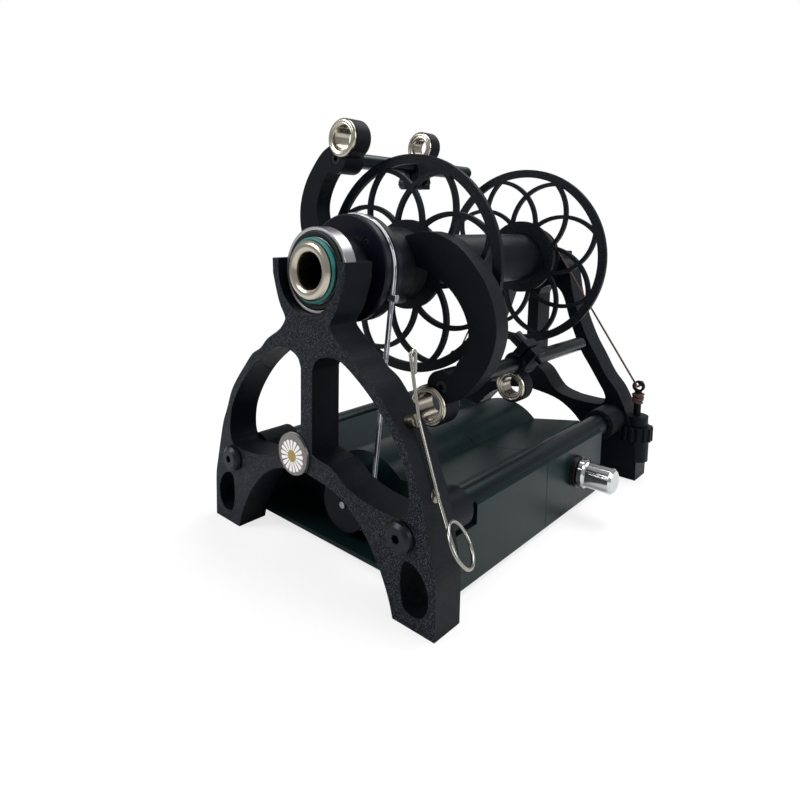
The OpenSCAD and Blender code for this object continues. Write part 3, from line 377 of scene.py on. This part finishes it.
def seated_ring(name, middle, face, outwards, inner, outer, height, body, finish):
    """A rounded ring that stands `height` out of the plane y = face."""
    bpy.ops.object.select_all(action="DESELECT")
    spot = (middle[0], face, middle[1])
    bpy.ops.mesh.primitive_torus_add(
        location=spot, rotation=(math.pi / 2, 0, 0), major_segments=72, minor_segments=16,
        major_radius=(inner + outer) / 2, minor_radius=(outer - inner) / 2)
    ring = bpy.context.object
    ring.name = ring.data.name = name
    bpy.ops.object.transform_apply(location=True, rotation=True, scale=True)
    bpy.ops.object.mode_set(mode="EDIT")
    thick = height / ((outer - inner) / 2)
    bpy.ops.transform.resize(value=(1, thick, 1), center_override=spot)
    bpy.ops.mesh.select_all(action="DESELECT")
    bpy.ops.object.mode_set(mode="OBJECT")
    for vertex in ring.data.vertices:
        vertex.select = (vertex.co.y - face) * outwards < -0.01 * MM
    bpy.ops.object.mode_set(mode="EDIT")
    bpy.ops.transform.resize(value=(1, SEAT_SHARE, 1), center_override=spot)
    bpy.ops.object.mode_set(mode="OBJECT")
    bpy.ops.object.shade_smooth_by_angle(angle=math.radians(50))
    ring.data.materials.append(finish.material)
    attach(ring, body)


# %% Lips of the wire guides
LIP_HEIGHT = 1.35 * MM
BORE_SHARE = 0.72
FIXED_GROMMET_R, FIXED_LIP_R, FIXED_HOLDER_LEN = 8.2 * MM, 9.5 * MM, 10 * MM
SLIDE_LIP_R, SLIDE_HOLDER_LEN = 8.1 * MM, 7.4 * MM


def lip_pair(name, middle, front, length, lip_r, body):
    """A lip on the front and one on the back of a holder of this length."""
    for side, face, outwards in (("front", front, -1), ("back", front + length, 1)):
        seated_ring(name + side, middle, face, outwards, lip_r * BORE_SHARE, lip_r,
                    LIP_HEIGHT, body, nickel)
    print(name + "front and back on", body)


low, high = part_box("fixed_grommets")
for end, middle in (("upper", (low[0] + FIXED_GROMMET_R, high[2] - FIXED_GROMMET_R)),
                    ("lower", (high[0] - FIXED_GROMMET_R, low[2] + FIXED_GROMMET_R))):
    lip_pair(end + "_fixed_lip_", middle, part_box("flyer_yoke")[0][1], FIXED_HOLDER_LEN,
             FIXED_LIP_R, "flyer")
for end in ("upper", "lower"):
    lip_pair(end + "_slide_lip_", middle_of(end + "_eyelet_grommet"),
             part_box(end + "_eyelet")[0][1], SLIDE_HOLDER_LEN, SLIDE_LIP_R, end + "_slider")

# %% Seals of the bearings
SEAL_HEIGHT = 0.3 * MM
SEALS = (("front", 14.45 * MM, 16.9 * MM), ("rear", 5.9 * MM, 9.4 * MM))
seal_rubber = plain("seal_rubber", (0.003, 0.003, 0.0035), 0.4, size=0.8 * MM,
                    Specular_IOR_Level=0.2)
for name, inner, outer in SEALS:
    low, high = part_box(name + "_bearing_outer")
    for side, face, outwards in (("front", low[1], -1), ("back", high[1], 1)):
        seated_ring(name + "_seal_" + side, (AXIS_X, AXIS_Z), face, outwards, inner, outer,
                    SEAL_HEIGHT, "stand", seal_rubber)
    print(name, "bearing sealed from", round(inner / MM, 2), "to", round(outer / MM, 2), "mm")

# %% [markdown]
# ## The brake cord
# The brake is a thin brown cord: looped on a peg, laid over the groove of the bobbin's
# drum and knotted behind the post's eye. A plain tube would look like wire, so three
# strands are twisted round the route. The route is one list of points: a circle round the
# peg, the tangent to the drum, the arc over it, the other tangent and a stopper knot.

# %% The ends of the cord
GROOVE_R, CORD_R, PEG_LOOP_R, STOPPER_R = 17.25 * MM, 0.6 * MM, 2.2 * MM, 1.0 * MM
EYE_R, PAST_EYE = 3.3 * MM, Vector((0, 2.2 * MM, 0))
KNUCKLE = 1.12  # the solid cord's joints are this much thicker than the cord
groove_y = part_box("brake_cord")[0][1] + KNUCKLE * CORD_R
low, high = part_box("brake_post")
eye = Vector(((low[0] + high[0]) / 2, (low[1] + high[1]) / 2, high[2] - EYE_R))
low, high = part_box("cord_anchor")
peg = Vector((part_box("brake_cord")[0][0] + CORD_R, (low[1] + high[1]) / 2,
              (low[2] + high[2]) / 2))


def tangent_angle(point, side):
    """Angle at which the line to a point leaves the drum's groove."""
    across, up = point.x - AXIS_X, point.z - AXIS_Z
    return math.atan2(up, across) + side * math.acos(GROOVE_R / math.hypot(across, up))


def on_drum(angle):
    return Vector((AXIS_X + GROOVE_R * math.cos(angle), groove_y,
                   AXIS_Z + GROOVE_R * math.sin(angle)))


def round_peg(angle):
    return peg + PEG_LOOP_R * Vector((0, math.sin(angle), math.cos(angle)))


def stopper(angle):
    """A helix that opens out behind the eye and stands for the knot."""
    return eye + PAST_EYE + Vector((STOPPER_R * math.sin(angle), STOPPER_RISE * angle,
                                    STOPPER_R * (1 - math.cos(angle))))


# %% The route of the cord
STEP = 0.4 * MM
STOPPER_RISE = 0.25 * MM
ARC_PARTS = 60
left = 2 * math.pi + tangent_angle(round_peg(0), -1)
right = tangent_angle(eye, 1)
corners = [round_peg(math.radians(angle)) for angle in range(0, 360, 10)] + [round_peg(0)]
corners += [on_drum(left + (right - left) * i / ARC_PARTS) for i in range(ARC_PARTS + 1)]
corners += [eye - PAST_EYE, eye + PAST_EYE]
corners += [stopper(math.radians(angle)) for angle in range(20, 840, 20)]
route = []
for start, end in zip(corners, corners[1:]):
    count = max(1, round((end - start).length / STEP))
    route += [start.lerp(end, i / count) for i in range(count)]
print("the cord's route has", len(route), "points")


# %% A frame that follows the route
def frames_along(points, lay):
    """For each point: the point, two directions across the route, and the twist so far."""
    side = Vector((1, 0, 0))
    rings = []
    run = 0.0
    for before, here, after in zip([points[0]] + points, points, points[1:] + [points[-1]]):
        along = (after - before).normalized()
        side = (side - along * side.dot(along)).normalized()
        run += (here - before).length
        rings.append((here, side, along.cross(side), 2 * math.pi * run / lay))
    return rings


# %% Three strands twisted round a route
def twisted(name, points, radius, lay=3.6 * MM, strands=3):
    """Strands of a bit over half the cord's radius, swung half of it off the middle."""
    strand_r, swing = radius * 0.56, radius * 0.5
    data = bpy.data.curves.new(name, "CURVE")
    data.dimensions = "3D"
    data.bevel_depth, data.bevel_resolution, data.use_fill_caps = strand_r, 1, True
    rings = frames_along(points, lay)
    for strand in range(strands):
        spline = data.splines.new("POLY")
        spline.points.add(len(rings) - 1)
        phase = 2 * math.pi * strand / strands
        for point, (middle, first, second, turn) in zip(spline.points, rings):
            place = middle + swing * (first * math.cos(turn + phase)
                                      + second * math.sin(turn + phase))
            point.co = (*place, 1)
    cord = bpy.data.objects.new(name, data)
    bpy.context.collection.objects.link(cord)
    bpy.ops.object.select_all(action="DESELECT")
    cord.select_set(True)
    bpy.context.view_layer.objects.active = cord
    bpy.ops.object.convert(target="MESH")
    bpy.ops.object.shade_smooth()
    return bpy.context.object


# %% The brake cord itself
cord_finish = plain("brown_cord", (0.085, 0.036, 0.026), 0.75, size=0.3 * MM,
                    depth=0.1 * MM, vary=0.4)
brake_cord = twisted("twisted_brake_cord", route, CORD_R)
brake_cord.data.materials.append(cord_finish.material)
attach(brake_cord, "stand")
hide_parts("brake_cord")
print("the cord has", len(brake_cord.data.polygons), "faces")

# %% [markdown]
# ## Spare turns on the post
# Below its eye the post carries a few turns of the spare cord, pulled tight. One turn is
# a torus round the post, pulled to an oval in edit mode. They lie one below the other,
# each tilted the other way than the last, as turns that cross each other do.

# %% Turns of cord round the post
TURNS, TURN_DROP, BELOW_EYE = 5, 1.15 * MM, 4.9 * MM
TURN_R, TURN_CORD_R = 2.55 * MM, 0.65 * MM
for i in range(TURNS):
    bpy.ops.object.select_all(action="DESELECT")
    spot = (eye.x, eye.y, eye.z - BELOW_EYE - i * TURN_DROP)
    bpy.ops.mesh.primitive_torus_add(
        location=spot, rotation=(0, math.radians(9 if i % 2 else -7), i * 0.9),
        major_segments=40, minor_segments=10, major_radius=TURN_R, minor_radius=TURN_CORD_R)
    wrap = bpy.context.object
    wrap.name = wrap.data.name = "cord_turn_" + str(i + 1)
    bpy.ops.object.transform_apply(location=True, rotation=True, scale=True)
    bpy.ops.object.mode_set(mode="EDIT")
    bpy.ops.transform.resize(value=(1.12 - 0.05 * i, 1.0, 1.0), center_override=spot)
    bpy.ops.object.mode_set(mode="OBJECT")
    bpy.ops.object.shade_smooth()
    wrap.data.materials.append(cord_finish.material)
    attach(wrap, "brake_lift")
print(TURNS, "turns of cord from", round(spot[2] / MM, 1), "mm up")

# %% [markdown]
# ## Floor, light and camera
# The floor is a wide pale plane. For the camera plain white is mixed into it: in part
# near the object, so that a soft shadow stays, and in full further off, so that there is
# no horizon. The object is black, so it is drawn by what it reflects: large soft lamps
# give every edge a long highlight. The camera's place, turn and lens were solved from the
# photograph.

# %% Floor and backdrop
NEAR_WHITE, SHADOW_REACH, SHADOW_FADE = 0.75, 0.3, 0.13
bpy.ops.mesh.primitive_plane_add(size=8, location=(0, 0, -0.2 * MM))
floor = bpy.context.object
floor.name = "floor"
pale = Finish("pale_floor")
pale.set(Base_Color=(0.82, 0.82, 0.82), Roughness=0.9)
glow = pale.add("ShaderNodeEmission", inputs={"Color": (1, 1, 1), "Strength": 1.0})
direct = pale.add("ShaderNodeLightPath", output="Is Camera Ray")
east, north, _ = pale.xyz()
away = (east * east + north * north).power(0.5).above(SHADOW_REACH, SHADOW_FADE)
washed = pale.add("ShaderNodeMixShader", inputs={
    0: direct * (away * (1 - NEAR_WHITE) + NEAR_WHITE),
    1: Signal(pale, pale.surface.outputs[0]), 2: glow})
pale.feed(pale.tree.nodes["Material Output"].inputs["Surface"], washed)
floor.data.materials.append(pale.material)
print("floor laid, white past", SHADOW_REACH + SHADOW_FADE, "m")

# %% The air round it: white for the camera, dim for the light, between for mirrors
GLOSS_SHARE = 0.35
world = bpy.data.worlds.new("studio")
bpy.context.scene.world = world
world.use_nodes = True
air = world.node_tree
dim = air.nodes["Background"]
dim.inputs["Color"].default_value = (0.92, 0.96, 1, 1)
dim.inputs["Strength"].default_value = 0.28
white = air.nodes.new("ShaderNodeBackground")
white.inputs["Color"].default_value = (1, 1, 1, 1)
rays = air.nodes.new("ShaderNodeLightPath")
mirrored = air.nodes.new("ShaderNodeMath")
mirrored.operation = "MULTIPLY_ADD"
mirrored.inputs[1].default_value = GLOSS_SHARE
air.links.new(rays.outputs["Is Glossy Ray"], mirrored.inputs[0])
air.links.new(rays.outputs["Is Camera Ray"], mirrored.inputs[2])
choice = air.nodes.new("ShaderNodeMixShader")
air.links.new(mirrored.outputs[0], choice.inputs[0])
air.links.new(dim.outputs[0], choice.inputs[1])
air.links.new(white.outputs[0], choice.inputs[2])
air.links.new(choice.outputs[0], air.nodes["World Output"].inputs["Surface"])
print("world", world.name, "has", len(air.nodes), "nodes")


# %% Lamps
def lamp(name, place, size, watts, target=(0, 0, 0.09)):
    """A square soft lamp that looks at the middle of the object."""
    data = bpy.data.lights.new(name, "AREA")
    data.shape, data.size, data.energy = "SQUARE", size, watts
    light = bpy.data.objects.new(name, data)
    light.location = place
    aim = Vector(target) - Vector(place)
    light.rotation_euler = aim.to_track_quat("-Z", "Y").to_euler()
    bpy.context.collection.objects.link(light)
    print(name, "lamp", round(aim.length, 2), "m away")


lamp("key", (-0.45, -0.75, 0.7), size=0.45, watts=9)
lamp("side", (0.95, 0.1, 0.45), size=0.5, watts=6)
lamp("top", (0.15, 0.35, 0.95), size=0.7, watts=12)

# %% Camera
PHOTO, SENSOR = 800, 36
FOCAL_PX, CENTRE_X_PX, CENTRE_Y_PX = 607.083, 350.087, 289.151
WORLD_TURN = Vector((1.584, 0.653, -0.571))
CAMERA_SPOT = Vector((0.183418, -0.274805, 0.150752))
scene = bpy.context.scene
camera = bpy.data.objects.new("camera", bpy.data.cameras.new("camera"))
bpy.context.collection.objects.link(camera)
scene.camera = camera
camera.data.sensor_width = SENSOR
camera.data.lens = FOCAL_PX * SENSOR / PHOTO
camera.data.shift_x = (PHOTO / 2 - CENTRE_X_PX) / PHOTO
camera.data.shift_y = (CENTRE_Y_PX - PHOTO / 2) / PHOTO
camera.data.clip_start = 0.01
seen = Matrix.Rotation(WORLD_TURN.length, 3, WORLD_TURN.normalized()).transposed()
flip = Matrix(((1, 0, 0), (0, -1, 0), (0, 0, -1)))
camera.matrix_world = Matrix.Translation(CAMERA_SPOT) @ (seen @ flip).to_4x4()
print("lens", round(camera.data.lens, 2), "mm")
scene.view_settings.view_transform = "Standard"
